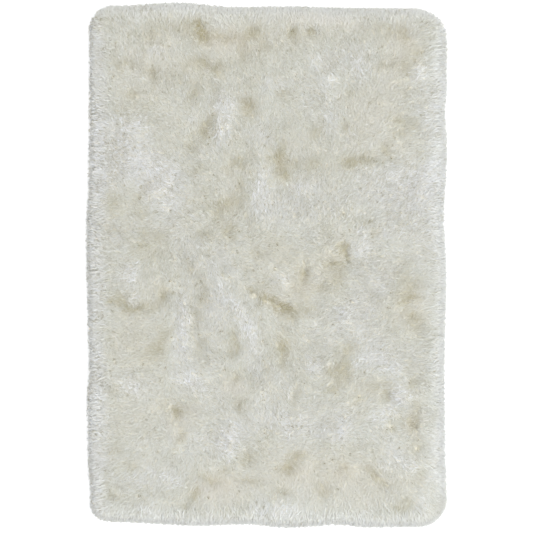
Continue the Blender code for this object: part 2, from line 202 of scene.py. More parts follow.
# Where the yarn is browner (above 0) or bluer (below 0), whatever its depth, in rows as above.
TINTS = patches((
    (-380, 673, 114, 91, 0, 70), (-217, 755, 82, 49, 0, 80), (-201, 641, 98, 49, -20, 60),
    (-54, 738, 82, 59, 0, 40), (109, 755, 82, 49, 0, 60), (436, 706, 98, 72, 90, 90),
    (-478, 559, 82, 59, 0, 50), (-282, 445, 82, 82, 0, 50), (-70, 526, 46, 39, 0, 60),
    (-201, 451, 52, 39, 60, 60), (338, 510, 137, 98, 50, 80), (436, 379, 98, 46, 0, 60),
    (44, 347, 82, 49, -80, 60), (142, 412, 98, 65, 0, 35), (-119, 249, 147, 49, 90, 55),
    (-445, 167, 131, 82, 0, 35), (-380, 70, 98, 49, 0, 30), (224, 53, 98, 59, 65, 75),
    (28, 4, 114, 91, 0, 40), (54, -133, 91, 39, -26, 70), (109, -61, 82, 49, 0, 40),
    (468, -110, 147, 65, 90, 60), (-445, -224, 163, 98, 90, 50), (-348, -94, 59, 39, 80, 50),
    (207, -338, 82, 52, 70, 40), (-103, -257, 98, 26, -80, 40), (60, -257, 65, 39, 90, 50),
    (485, -502, 72, 33, 88, 80), (387, -387, 98, 39, 0, 50), (-282, -469, 98, 59, 0, 60),
    (-478, -502, 82, 65, 0, 40), (109, -648, 131, 91, 0, 75), (-119, -730, 114, 49, 15, 80),
    (370, -681, 147, 65, -20, 60), (240, -730, 163, 49, 0, 50), (-494, -730, 82, 65, 90, 30),
    (-462, 386, 147, 91, -25, -90), (-331, 265, 114, 72, -40, -70), (-145, 517, 98, 39, 90, -60),
    (-15, 412, 65, 49, 0, -40), (60, 200, 131, 72, 0, -80), (191, 282, 98, 59, 0, -50),
    (452, 233, 147, 98, 0, -90), (517, 86, 147, 59, 90, -60), (126, 543, 114, 49, 60, -45),
    (28, 592, 98, 39, 0, -40), (-250, 53, 163, 59, -60, -70), (-266, -240, 163, 46, 88, -60),
    (-168, -338, 147, 39, -70, -60), (-54, -273, 147, 39, -75, -50), (-5, -387, 98, 82, 0, -40),
    (142, -208, 114, 82, 0, -40), (338, 21, 196, 49, 90, -60), (321, -240, 131, 65, 0, -60),
    (452, -306, 91, 59, 0, -60), (436, -430, 46, 33, 0, -80), (-119, -550, 114, 59, 30, -70),
    (-348, -599, 131, 52, -10, -40), (175, -502, 114, 82, 0, -40), (-472, -38, 59, 39, 0, -60),
    (534, 445, 196, 46, 90, -50), (-119, 742, 80, 45, 0, 80), (-90, -394, 55, 40, 0, 100),
    (344, 161, 45, 40, 0, 60), (96, -681, 60, 40, 0, 60), (-387, -616, 50, 30, 0, 50),
    (-142, -697, 70, 60, 0, 45), (142, -68, 35, 40, 0, 70), (510, -110, 60, 30, 90, 60),
    (86, 510, 85, 30, 90, 50), (-86, 559, 35, 30, 0, 50), (250, 298, 50, 40, 0, 50),
    (-520, 282, 55, 50, 0, -80), (-410, 125, 80, 50, 0, -80), (-224, 412, 70, 60, 0, -80),
    (-162, -139, 80, 50, 90, -100), (-142, 53, 50, 30, 90, -70), (270, 680, 120, 50, 0, -50),
    (305, 605, 45, 40, 0, -60), (207, 461, 50, 40, 90, -90), (400, -35, 100, 40, 60, -90),
    (300, -126, 50, 50, 0, -70), (178, -329, 40, 35, 90, -100), (90, -508, 85, 40, 0, -60),
    (240, -540, 50, 40, 0, -50), (-240, -410, 50, 30, 0, -80), (-535, -400, 150, 35, 90, -50),
    (-256, 732, 45, 40, 0, -70), (-465, 780, 50, 35, 0, -50), (420, -622, 55, 40, 90, -70),
    (-430, -700, 100, 30, 0, -50), (184, 86, 40, 40, 0, -60), (-175, -725, 60, 40, 0, 90),
    (-135, 725, 50, 40, 0, 80), (263, 787, 70, 30, 0, 80), (-125, -400, 45, 35, 0, 80),
    (-103, -12, 50, 25, -60, -90), (-285, -540, 70, 42, 60, 80), (253, -671, 50, 35, 0, 80),
    (5, 405, 55, 25, -40, -80), (-396, 249, 45, 35, 0, -80), (-462, -107, 30, 25, 0, -80),
    (465, 738, 45, 30, -30, 70), (-510, 115, 75, 45, -60, -80), (286, -273, 35, 28, 0, 80),
    (-165, -352, 35, 25, 0, 50), (150, 812, 130, 25, 0, 100), (-400, -660, 40, 30, 0, 60),
    (315, -785, 50, 30, 0, 60), (-44, -90, 35, 25, -40, -60),
))

# Small pits where the tufts stand apart, with painted shadow in them.
Pit = namedtuple("Pit", "x y radius")
PITS = tuple(Pit(x * MM, y * MM, radius * MM) for x, y, radius in (
    (-543, 800, 5), (-494, 722, 3.5), (-534, 706, 3.5), (80, 644, 3.5), (93, 621, 3.5), (455, 624, 4),
    (481, 670, 3.5), (-335, 565, 4.5), (230, 543, 4), (334, 530, 3.5), (-488, 461, 5), (-465, 428, 5),
    (152, 233, 4), (-380, 220, 3.5), (-315, 180, 3.5), (250, 171, 5), (335, 148, 4.5), (344, 102, 5.5),
    (289, 56, 4), (-286, -35, 3.5), (-312, -48, 3.5), (-305, -90, 4), (-139, -338, 3.5), (-70, -342, 3.5),
    (-210, -351, 3.5), (318, -342, 4), (299, -423, 4), (-119, -515, 3.5), (406, -524, 4.5),
    (-5, -541, 3.5), (491, -593, 4),
))

# Which way the pile is brushed, in rows of millimetres and of the tips' heading in degrees from +X.
Sweep = namedtuple("Sweep", "x y reach heading")
SWEEPS = tuple(Sweep(x * MM, y * MM, reach * MM, heading) for x, y, reach, heading in (
    (-550, 670, 100, 150), (-550, 280, 160, 167), (-550, -110, 160, 166), (-550, -450, 140, 180),
    (-520, -700, 100, 195), (-410, 780, 80, 108), (-250, 770, 100, 90), (-50, 780, 90, 92),
    (170, 760, 110, 116), (360, 750, 100, 98), (520, 640, 100, 28), (510, 440, 110, 42),
    (500, 240, 130, 34), (530, -100, 130, 8), (470, -320, 120, -2), (520, -520, 100, -25),
    (520, -740, 80, -42), (390, -740, 90, -66), (240, -780, 100, -80), (90, -790, 70, -112),
    (-80, -780, 100, -88), (-380, -720, 100, -128), (-340, 670, 100, 86), (-200, 660, 90, 116),
    (-130, 550, 70, 114), (-200, 460, 60, 92), (-430, 400, 110, 150), (-470, 290, 100, 172),
    (-330, 270, 100, 150), (170, 580, 90, 150), (300, 690, 90, 98), (170, 440, 80, 106),
    (170, 240, 100, 90), (-10, 250, 100, 92), (300, 240, 100, 58), (-100, 40, 90, 2), (100, 40, 80, -15),
    (-200, -40, 90, -62), (-330, -60, 90, -68), (-130, -170, 80, -80), (-210, -250, 70, -46),
    (-220, -400, 80, -30), (300, -30, 90, 10), (270, -190, 90, 22), (380, -170, 80, 55),
    (240, -330, 70, 60), (80, -370, 90, -94), (-50, -460, 80, -88), (190, -460, 100, 22),
    (-120, -540, 80, -25), (140, -540, 70, 24), (280, -610, 90, -10), (380, -620, 70, -45),
    (-50, -680, 80, -14), (-200, -680, 70, -88), (-400, -620, 80, -140), (-270, -540, 70, 60),
))

# The fields of smooth chance: how strong each is, how far apart its knots are, and its seed.
Noise = namedtuple("Noise", "strength size seed")
LUMPS = Noise(0.0032, 0.055, 1)
SWIRLS = Noise(28, 0.060, 2)
PIT_FIELDS = Noise(1, 0.12, 6)
BROAD = Noise(0.08, 0.080, 7)
MOTTLE = Noise(0.03, 0.034, 8)
FINE = Noise(0.02, 0.016, 9)
BED_LUMPS = Noise(0.0015, 0.012, 10)
RAGGED_BORDER = Noise(0.022, 0.03, 13)
GATHERINGS = Noise(0.9, 0.05, 14)
RIM_BORDER = Noise(0.022, 0.07, 15)
CRISP_FIELDS = Noise(0.35, 0.06, 18)
PATCH_PULLS = (Noise(0.009, 0.022, 16), Noise(0.009, 0.022, 17))
PATCH_RAGS = (Noise(0.003, 0.009, 21), Noise(0.003, 0.009, 22))
KNOTS = 256

RIM_COMB_FROM = 0.110
RIM_COMB_FULL = 0.050
RIM_COMB_WEIGHT = 1.2
COMB_LEAST = 0.05

# ------------------------ the pile's own sizes

# A strand's stations from its root in the bed to its tip. `reach` and `rise` are shares of its
# own, `clump` is how far it has been drawn to its tuft, and `girth` its size.
Station = namedtuple("Station", "reach rise clump girth")
SPIKE = (Station(0.00, 0.00, 0.0, 1.00), Station(1.00, 1.00, 1.0, 0.00))
BENT = (Station(0.00, 0.00, 0.0, 0.85), Station(0.50, 0.56, 0.5, 1.00), Station(1.00, 1.00, 1.0, 0.00))
CURVED = (
    Station(0.00, 0.00, 0.0, 0.85), Station(0.34, 0.50, 0.3, 1.00),
    Station(0.70, 0.88, 0.7, 0.85), Station(1.00, 1.00, 1.0, 0.00),
)

# The kinds of strand. `pitch` is how far apart they stand, and `least` and `most` the depth
# inside the unrolled edge between which their middles lie.
Kind = namedtuple("Kind", "name pieces pitch least most reach rise width thickness curl stations")
KINDS = (
    Kind("pile_nap", 3, 0.00360, 0.003, 9.0, 0.016, 0.0075, 0.0025, 0.0016, 0.000, SPIKE),
    Kind("pile_field", 2, 0.01000, 0.060, 9.0, 0.021, 0.0085, 0.0030, 0.0016, 0.0025, BENT),
    Kind("pile_rim", 2, 0.00620, 0.004, 0.075, 0.025, 0.0080, 0.0029, 0.0017, 0.003, CURVED),
)
STRAND_SEED = 40
STRAND_JITTER = 0.45
REACH_SPREAD = 0.22
LEAST_SIZE = 0.75
MOST_SIZE = 1.2
TIP_LIFT = 0.0004
TIP_LIFT_SPREAD = 0.0015
TIP_LIFT_MOST = 0.0050
HEADING_SPREAD = 36
RIM_CALM = 0.50
HOLLOW_SHORTENS = 0.35
MOUND_MOST = 0.3
SIDES = 3
# A strand's part of its cell in the map: where it starts and how far it goes, along and across.
CELL_LOW = 0.04
CELL_LONG = 0.92
CELL_LEFT = 0.05
CELL_WIDE = 0.9

TUFT_SEED = 3
TUFT_CHANCE_SEED = 11
TUFT_PITCH = 0.012
TUFT_JITTER = 0.38
TUFT_PULL = 0.30
TUFT_TURN = 25
TUFT_LIFT = 0.0005

# Locks, which lie over each other like scales. Each is higher in its middle and at its front, and
# the pile just in front of it gets painted shadow. At the rim they are drawn together into points.
LOCK_SEED = 19
LOCK_PITCH = 0.021
LOCK_MARGIN = 4
LOCK_JITTER = 0.42
LOCK_LONG = 1.45
LOCK_BORDER = 0.6
LOCK_DOME = 0.0006
LOCK_FRONT = 0.0006
LOCK_SHADE = 0.015
LOCK_GAP = 0.11
LOCK_GAP_FULL = 0.4
LOCK_GAP_BACK = 0.3
LOCK_GAP_DEPTH = 0.95
LOCK_GAP_SHARE = 0.50
RIM_LOCK_PULL = 0.65
RIM_LOCK_REACH = 0.034
RIM_LOCK_SHADE = 0.06
FAR = 9.0
NEIGHBOURS = (-2, -1, 0, 1, 2)

SHADE_LEVEL = 0.02
# Painted light: the pile is painted a little lighter towards the right.
SHADE_SLOPE_X = -0.01
TINT_LIGHTENS = 0.10
SHADE_UNEVEN = 0.55
STRAY_ALONG = 0.009
STRAY_ACROSS = 0.003
OWN_SHADE = 0.14
OWN_SHADE_FROM = 0.7
TINT_MOST = 1.6
TINT_LIGHTEST = 1.2

# How much the strands stand apart, and what of it goes to their tone, from 0 pale to 1 dull.
CRISP_LEVEL = 1.15
CRISP_SLOPE_X = -0.20
CRISP_SLOPE_Y = 0.35
CRISP_SPREAD = 1.0
CRISP_TINT = 0.5
CRISP_PATCH = 0.8
CRISP_LEAST = 0.10
CRISP_MOST = 2.4
TONE_POWER = 1.4
TONE_PLAIN = 0.3
TONE_CRISP = 0.65

# How much painted shade the pile's foot gets along each side, and how high up the rim that fades;
# how much painted light (above 0) or painted shade (below 0) the rim gets above it, by how the light
# falls on that side; how much bluer it is, and how much crisper than the field.
Side = namedtuple("Side", "normal_x normal_y grey fade pale cool crisp")
RIM_SIDES = (
    Side(-1, 0, 0.90, 0.047, 0.09, 1.15, 0.22),
    Side(+1, 0, 1.22, 0.068, 0.08, 0.06, -0.60),
    Side(0, +1, 0.68, 0.080, -0.07, -0.30, -1.00),
    Side(0, -1, 1.08, 0.060, -0.03, 0.32, -0.45),
)
# Over these depths the rim's painted light and shade, its blue and its crispness fade out.
RIM_SHADE_FULL = 0.040
RIM_SHADE_FADE = 0.108
# The foot's painted shade is full up to this depth.
FOOT_SHADE_FULL = 0.022
RIM_RIDGE = 0.55
RIM_SHORTFALL = 0.001
SHORTFALL_POWER = 1.5
RIM_OVERHANG = 0.0056
LEAST_OUTWARD = 0.05
LEAST_REACH = 0.005
FLOOR_CLEARANCE = 0.0006
RAGGED_FROM = 0.02
RAGGED_FULL = 0.05

# Pits, and specks where single strands end low; both are dark with painted shadow.
PIT_SEED = 5
PIT_COUNT = 220
PIT_TRIES = 4 * PIT_COUNT
PIT_LEAST_RADIUS = 0.0022
PIT_SPREAD = 0.0026
PIT_DROP = 0.0020
PIT_INSET = 0.085
PIT_TAKES_FROM = 0.25
PIT_LEVEL = 0.25
PIT_CHANCE = 0.6
SPECK_SHARE = 0.100
SPECK_DROP = 0.0004
LEAST_DARK = 0.4

BED_DEPTH = 0.0065
BED_SEED = 9
BED_LATTICE = 0.013
BED_JITTER = 0.25
BED_STATIONS = 360
BED_RIM_ARCS = (0.012, 0.020, 0.028, 0.036, 0.046, 0.058)
BED_FOOT = 0.0024
BED_LEAST_DEPTH = 0.001

CLOTH_INSET = 0.020
CLOTH_THICKNESS = 0.0020
CLOTH_STATIONS = 360

CENTRE_STATIONS = 720
OUTLINE_FINER = 20
OUTLINE_PASSES = 40
OUTLINE_EASE = 0.7
SLOPE_STEP = 0.002
TINY = 1e-9

# ------------------------ the light, floor and camera

VIEW_WIDTH = 1.739
LENS = 85.0
SENSOR = 36.0
FOCUS_HEIGHT = 0.012
CAMERA_SHIFT_X = -0.0010
CAMERA_SHIFT_Y = -0.0039
FLOOR_SIZE = 14.0
FLOOR_DROP = 0.0005
LIGHT_COLOUR = (0.997, 1.0, 1.01)
WORLD_STRENGTH = 1.228

rng = np.random.default_rng(20)


# ------------------------ fields over the rug's plane


def ease(share):
    return share * share * (3 - 2 * share)


def smooth_step(value, low, high):
    return ease(np.clip((value - low) / (high - low), 0, 1))


def smooth_noise(x, y, noise):
    """Smooth noise over the plane, from its strength below 0 to its strength above."""
    knots = np.random.default_rng(noise.seed).uniform(-1, 1, (KNOTS, KNOTS))
    across = x / noise.size + KNOTS / 2
    up = y / noise.size + KNOTS / 2
    column = np.floor(across).astype(int)
    row = np.floor(up).astype(int)
    share_x = ease(across - column)
    share_y = ease(up - row)
    column = column % (KNOTS - 1)
    row = row % (KNOTS - 1)
    low = knots[row, column] * (1 - share_x) + knots[row, column + 1] * share_x
    high = knots[row + 1, column] * (1 - share_x) + knots[row + 1, column + 1] * share_x
    return noise.strength * (low * (1 - share_y) + high * share_y)


def along_and_across(off_x, off_y, way_x, way_y):
    return off_x * way_x + off_y * way_y, off_y * way_x - off_x * way_y


def patch_shade(x, y, among=PATCHES):
    """The sum of the patches' shades at each point. Their outlines are drawn unevenly."""
    total = np.zeros_like(x)
    pulled_x = x + (smooth_noise(x, y, PATCH_PULLS[0]) + smooth_noise(x, y, PATCH_RAGS[0]))
    y = y + (smooth_noise(x, y, PATCH_PULLS[1]) + smooth_noise(x, y, PATCH_RAGS[1]))
    x = pulled_x
    for patch in among:
        far = PATCH_REACH * patch.long
        near = np.flatnonzero((np.abs(x - patch.x) < far) & (np.abs(y - patch.y) < far))
        turn = radians(patch.turn)
        along, across = along_and_across(x[near] - patch.x, y[near] - patch.y, np.cos(turn), np.sin(turn))
        far = (along / patch.long) ** 2 + (across / patch.wide) ** 2
        total[near] += patch.shade * np.exp(-(far**PATCH_POWER))
    return total


def eased(waves, place):
    """How far a side stands out at each place along it, eased from row to row."""
    along, out = np.array(waves).T
    index = np.clip(np.searchsorted(along, place) - 1, 0, len(along) - 2)
    share = np.clip((place - along[index]) / (along[index + 1] - along[index]), 0, 1)
    return out[index] + (out[index + 1] - out[index]) * ((1 - np.cos(np.pi * share)) / 2)


def bulge(x, y, normal_x, normal_y):
    """How far the outline stands out of the plain one. A corner blends the waves of its two sides."""
    beside = np.where(normal_x > 0, eased(RIGHT_WAVES, y), eased(LEFT_WAVES, y))
    ahead = np.where(normal_y > 0, eased(TOP_WAVES, x), eased(BOTTOM_WAVES, x))
    return normal_x**2 * beside + normal_y**2 * ahead


def corner_radius(x, y):
    top = np.where(x > 0, RADIUS_RIGHT_TOP, RADIUS_LEFT_TOP)
    bottom = np.where(x > 0, RADIUS_RIGHT_BOTTOM, RADIUS_LEFT_BOTTOM)
    return np.where(y > 0, top, bottom)


def rim_profile():
    """The rim's rounding: arc length from the floor, with the inset and height there."""
    turn = np.linspace(0, np.pi / 2, RIM_STEPS)
    inset = RIM_REACH * (1 - np.cos(turn) ** (2 / RIM_POWER))
    height = PILE_HEIGHT * np.sin(turn) ** (2 / RIM_POWER)
    steps = np.hypot(np.diff(inset), np.diff(height))
    return np.concatenate(([0.0], np.cumsum(steps))), inset, height


RIM_ARC, RIM_INSET, RIM_HEIGHT = rim_profile()
RIM_LENGTH = RIM_ARC[-1]
# The unrolled plane: the rug with its rounded rim pressed flat, so it is this much larger all round.
UNROLLED = RIM_LENGTH - RIM_REACH
UNROLLED_X = RUG_WIDTH / 2 + UNROLLED
UNROLLED_Y = RUG_LENGTH / 2 + UNROLLED
RELIEF_FROM = 0.3 * RIM_LENGTH
RELIEF_FULL = 1.2 * RIM_LENGTH
LOCKS_FROM = 0.1 * RIM_LENGTH
HALF_RIM = 0.5 * RIM_LENGTH


def edge_of(x, y):
    """On the unrolled plane: the depth inside its edge, and the outward normal of the nearest edge."""
    radius = corner_radius(x, y)
    past_x = np.abs(x) - (RUG_WIDTH / 2 - radius)
    past_y = np.abs(y) - (RUG_LENGTH / 2 - radius)
    radius = radius + UNROLLED
    cornered = (past_x > 0) & (past_y > 0)
    reach = np.maximum(np.hypot(past_x, past_y), TINY)
    depth = radius - np.where(cornered, reach, np.maximum(past_x, past_y))
    normal_x = np.where(cornered, past_x / reach, past_x > past_y) * np.where(x > 0, 1, -1)
    normal_y = np.where(cornered, past_y / reach, past_x <= past_y) * np.where(y > 0, 1, -1)
    return depth, normal_x, normal_y


def laid(x, y, lift):
    """Points of the rug over points of the unrolled plane, `lift` above the pile's surface."""
    depth, normal_x, normal_y = edge_of(x, y)
    depth = np.maximum(depth, 0)
    inset = np.interp(depth, RIM_ARC, RIM_INSET) + np.maximum(depth - RIM_LENGTH, 0)
    height = np.interp(depth, RIM_ARC, RIM_HEIGHT)
    ahead = np.interp(depth + SLOPE_STEP, RIM_ARC, RIM_HEIGHT)
    behind = np.interp(depth - SLOPE_STEP, RIM_ARC, RIM_HEIGHT)
    slope = np.clip((ahead - behind) / (2 * SLOPE_STEP), 0, 1)
    flat_x = x + normal_x * (depth - UNROLLED - inset)
    flat_y = y + normal_y * (depth - UNROLLED - inset)
    out = bulge(flat_x, flat_y, normal_x, normal_y) * (1 - smooth_step(depth, 0, WAVES_FADE))
    out = out + lift * slope
    relief = surface_relief(flat_x, flat_y) * smooth_step(depth, RELIEF_FROM, RELIEF_FULL)
    up = height + relief + lift * np.sqrt(1 - slope**2)
    return np.stack((flat_x + normal_x * out, flat_y + normal_y * out, up), axis=-1) - CENTRE


def surface_relief(x, y):
    return RELIEF_RISE * np.clip(patch_shade(x, y), -1, 1) + smooth_noise(x, y, LUMPS)


def lay_direction(x, y):
    """The way that the tips point, as a unit vector, over the unrolled plane."""
    east = np.zeros_like(x)
    north = np.zeros_like(x)
    for sweep in SWEEPS:
        weight = np.exp(-((x - sweep.x) ** 2 + (y - sweep.y) ** 2) / sweep.reach**2)
        east += weight * np.cos(radians(sweep.heading))
        north += weight * np.sin(radians(sweep.heading))
    depth, normal_x, normal_y = edge_of(x, y)
    comb = RIM_COMB_WEIGHT * (1 - smooth_step(depth, RIM_COMB_FULL, RIM_COMB_FROM)) + COMB_LEAST
    east += comb * normal_x
    north += comb * normal_y
    turn = np.radians(smooth_noise(x, y, SWIRLS))
    turn *= smooth_step(depth, 0.0, RIM_COMB_FROM)
    heading = np.arctan2(north, east) + turn
    return np.array((np.cos(heading), np.sin(heading)))


def jittered_lattice(half_x, half_y, pitch, jitter, seed):
    """Points of a lattice of equal triangles over a rectangle, each moved a little."""
    chance = np.random.default_rng(seed)
    row_pitch = pitch * 3**0.5 / 2
    rows = np.arange(-int(half_y / row_pitch) - 1, int(half_y / row_pitch) + 2)
    columns = np.arange(-int(half_x / pitch) - 1, int(half_x / pitch) + 2)
    row, column = (grid.ravel() for grid in np.meshgrid(rows, columns, indexing="ij"))
    x = (column + (row % 2) / 2) * pitch
    y = row * row_pitch
    x = x + chance.uniform(-1, 1, len(x)) * jitter * pitch
    y = y + chance.uniform(-1, 1, len(y)) * jitter * pitch
    return x, y


class Locks:
    """The locks over the unrolled plane, each longer along the lay than across it."""

    def __init__(self, seed):
        chance = np.random.default_rng(seed)
        self.columns = int(UNROLLED_X / LOCK_PITCH) + LOCK_MARGIN
        self.rows = int(UNROLLED_Y / LOCK_PITCH) + LOCK_MARGIN
        shape = (2 * self.rows + 1, 2 * self.columns + 1)
        column = np.arange(shape[1])[None, :] - self.columns + chance.uniform(-1, 1, shape) * LOCK_JITTER
        row = np.arange(shape[0])[:, None] - self.rows + chance.uniform(-1, 1, shape) * LOCK_JITTER
        self.x = column * LOCK_PITCH
        self.y = row * LOCK_PITCH
        way_x, way_y = lay_direction(self.x.ravel(), self.y.ravel())
        self.way_x = way_x.reshape(shape)
        self.way_y = way_y.reshape(shape)
        self.tone = chance.uniform(-1, 1, shape)

    def offset(self, lock, x, y):
        """How far each point lies along its lock and across it, in the lock's own size."""
        off_x = (x - self.x[lock]) / LOCK_PITCH
        off_y = (y - self.y[lock]) / LOCK_PITCH
        along, across = along_and_across(off_x, off_y, self.way_x[lock], self.way_y[lock])
        return along / LOCK_LONG, across

    def at(self, x, y):
        """At each point: how far inside its lock's border, how far to the lock's front, its tone, and
        how far the point lies to the side of the lock's middle line.
        """
        best = np.full(len(x), FAR)
        second = best
        column = np.rint(x / LOCK_PITCH).astype(int) + self.columns
        row = np.rint(y / LOCK_PITCH).astype(int) + self.rows
        own_row = row
        own_column = column
        for step_row in NEIGHBOURS:
            for step_column in NEIGHBOURS:
                near_row = np.clip(row + step_row, 0, 2 * self.rows)
                near_column = np.clip(column + step_column, 0, 2 * self.columns)
                far = np.hypot(*self.offset((near_row, near_column), x, y))
                nearer = far < best
                second = np.where(nearer, best, np.minimum(second, far))
                best = np.where(nearer, far, best)
                own_row = np.where(nearer, near_row, own_row)
                own_column = np.where(nearer, near_column, own_column)
        lock = (own_row, own_column)
        front, across = self.offset(lock, x, y)
        aside_x = -across * self.way_y[lock] * LOCK_PITCH
        aside_y = across * self.way_x[lock] * LOCK_PITCH
        return second - best, front, self.tone[lock], aside_x, aside_y


def lock_rise(x, y):
    """How much the locks raise the pile's surface."""
    border, front, _, _, _ = LOCKS.at(x, y)
    depth, _, _ = edge_of(x, y)
    rise = LOCK_DOME * (2 * smooth_step(border, 0.0, LOCK_BORDER) - 1)
    rise = rise + LOCK_FRONT * np.clip(2 * front, -1, 1)
    return rise * smooth_step(depth, LOCKS_FROM, HALF_RIM)


def drawn_together(x, y):
    """Points of the unrolled plane, drawn to their locks' middle lines near its edge.

    So the locks of the rim hang down in points, with gaps between them at the floor.
    """
    x = x.copy()
    y = y.copy()
    depth, _, _ = edge_of(x, y)
    near = np.flatnonzero(depth < RIM_LOCK_REACH)
    _, _, _, aside_x, aside_y = LOCKS.at(x[near], y[near])
    share = RIM_LOCK_PULL * (1 - smooth_step(depth[near], 0.0, RIM_LOCK_REACH))
    x[near] -= aside_x * share
    y[near] -= aside_y * share
    return x, y


def outline_loop(count, inset):
    """Evenly spread points round the uneven outline, this far inside it, anticlockwise."""
    angle = np.linspace(0, 2 * np.pi, OUTLINE_FINER * count, endpoint=False)
    reach = RUG_WIDTH + RUG_LENGTH
    far_x = reach * np.cos(angle)
    far_y = reach * np.sin(angle)
    near = np.zeros_like(angle)
    for _ in range(OUTLINE_PASSES):
        depth, _, _ = edge_of(far_x * near, far_y * near)
        near += (depth - UNROLLED) / reach * OUTLINE_EASE
    x = far_x * near
    y = far_y * near
    steps = np.hypot(np.diff(x, append=x[0]), np.diff(y, append=y[0]))
    walked = np.concatenate(([0.0], np.cumsum(steps)))
    stations = np.linspace(0, walked[-1], count, endpoint=False)
    x = np.interp(stations, walked, np.append(x, x[0]))
    y = np.interp(stations, walked, np.append(y, y[0]))
    _, normal_x, normal_y = edge_of(x, y)
    out = bulge(x, y, normal_x, normal_y) - inset
    return x + normal_x * out, y + normal_y * out


def outline_centre():
    x, y = outline_loop(CENTRE_STATIONS, 0.0)
    return np.array(((x.min() + x.max()) / 2, (y.min() + y.max()) / 2, 0.0))


CENTRE = outline_centre()
LOCKS = Locks(LOCK_SEED)

# ------------------------ the pile's colour


def facing(side, normal_x, normal_y):
    """The share that this side has in a place on the rim. A corner is shared by two sides."""
    return np.maximum(normal_x * side.normal_x + normal_y * side.normal_y, 0) ** 2


def rim_share(x, y, column):
    """A column of the sides' table on the pile's rim, fading inwards over an uneven line."""
    depth, normal_x, normal_y = edge_of(x, y)
    depth = depth + smooth_noise(x, y, RIM_BORDER)
    value = sum(getattr(side, column) * facing(side, normal_x, normal_y) for side in RIM_SIDES)
    return value * (1 - smooth_step(depth, RIM_SHADE_FULL, RIM_SHADE_FADE))


def painted_foot_shade_at(x, y):
    """How much painted shade the pile's foot gets, from 1 to 0 inside."""
    depth, normal_x, normal_y = edge_of(x, y)
    grey = np.zeros_like(x)
    for side in RIM_SIDES:
        grey += facing(side, normal_x, normal_y) * side.grey * (1 - smooth_step(depth, FOOT_SHADE_FULL, side.fade))
    return grey


def tint_at(x, y):
    """How brown (above 0) or blue (below 0) the yarn is."""
    return np.clip(patch_shade(x, y, TINTS), -TINT_MOST, TINT_MOST) - rim_share(x, y, "cool")


def crisp_at(x, y):
    """How much the strands stand apart: more on the cool mounds, less where the pile is smoothed flat."""
    warmth = CRISP_TINT * patch_shade(x, y, TINTS) + CRISP_PATCH * patch_shade(x, y)
    level = CRISP_LEVEL + CRISP_SLOPE_X * x + CRISP_SLOPE_Y * y + rim_share(x, y, "crisp")
    level = level - CRISP_SPREAD * warmth + smooth_noise(x, y, CRISP_FIELDS)
    return np.clip(level, CRISP_LEAST, CRISP_MOST)


def shade_at(x, y):
    """How much painted shade the pile gets, darker and warmer: 0 where it lies plain, 1 in a deep hollow,
    below 0 a painted highlight on a mound. It is also painted lighter towards the right, and lighter or
    darker by side on the rim.
    """
    mottle = smooth_noise(x, y, MOTTLE) + smooth_noise(x, y, FINE)
    lighter = TINT_LIGHTENS * np.clip(patch_shade(x, y, TINTS), -TINT_LIGHTEST, 0)
    shade = patch_shade(x, y) + smooth_noise(x, y, BROAD) + mottle + SHADE_SLOPE_X * x + lighter
    return shade - rim_share(x, y, "pale") + SHADE_LEVEL


def strand_shade(x, y, way_x, way_y):
    """The painted shade of single strands. Neighbours differ, so a hollow is speckled and not a smooth blot.
    """
    count = len(x)
    along = rng.normal(0, STRAY_ALONG, count)
    across = rng.normal(0, STRAY_ACROSS, count)
    shade = shade_at(x + along * way_x - across * way_y, y + along * way_y + across * way_x)
    own = OWN_SHADE * np.maximum(crisp_at(x, y) - OWN_SHADE_FROM, 0) * rng.normal(0, 1, count)
    return shade * (1 + SHADE_UNEVEN * rng.uniform(-1, 1, count)) + own


# ------------------------ strands


def nearest_tuft(x, y):
    """The tuft that each strand belongs to: its middle, how far it is turned, and how high it stands."""
    tuft_x, tuft_y = jittered_lattice(UNROLLED_X, UNROLLED_Y, TUFT_PITCH, TUFT_JITTER, TUFT_SEED)
    tree = KDTree(len(tuft_x))
    for index, place in enumerate(zip(tuft_x, tuft_y)):
        tree.insert((*place, 0.0), index)
    tree.balance()
    found = np.array([tree.find((*place, 0.0))[1] for place in zip(x, y)])
    chance = np.random.default_rng(TUFT_CHANCE_SEED)
    turn = chance.normal(0, TUFT_TURN, len(tuft_x))[found]
    lift = chance.normal(0, TUFT_LIFT, len(tuft_x))[found]
    return np.array((tuft_x[found], tuft_y[found])), turn, lift


def strand_middles(kind, seed):
    """The middles of a kind's strands over the unrolled plane, from the foot of the rug to its head."""
    x, y = jittered_lattice(UNROLLED_X, UNROLLED_Y, kind.pitch, STRAND_JITTER, seed)
    depth, _, _ = edge_of(x, y)
    ragged = smooth_noise(x, y, RAGGED_BORDER) + RAGGED_BORDER.strength * rng.uniform(-1, 1, len(x))
    ragged *= smooth_step(depth, RAGGED_FROM, RAGGED_FULL)
    inside = (depth > kind.least) & (depth + ragged > kind.least) & (depth + ragged < kind.most)
    x = x[inside]
    y = y[inside]
    order = np.argsort(y)
    return x[order], y[order]


def all_pits():
    """The placed pits and small chance ones, which lie more thickly where the noise is high."""
    chance = np.random.default_rng(PIT_SEED)
    x = chance.uniform(-RUG_WIDTH / 2, RUG_WIDTH / 2, PIT_TRIES)
    y = chance.uniform(-RUG_LENGTH / 2, RUG_LENGTH / 2, PIT_TRIES)
    radius = PIT_LEAST_RADIUS + PIT_SPREAD * chance.uniform(0, 1, PIT_TRIES) ** 2
    depth, _, _ = edge_of(x, y)
    thick = smooth_noise(x, y, PIT_FIELDS) + chance.uniform(-PIT_CHANCE, PIT_CHANCE, PIT_TRIES) > PIT_LEVEL
    keep = np.flatnonzero(thick & (depth > PIT_INSET))[:PIT_COUNT]
    return list(PITS) + [Pit(*row) for row in zip(x[keep], y[keep], radius[keep])]


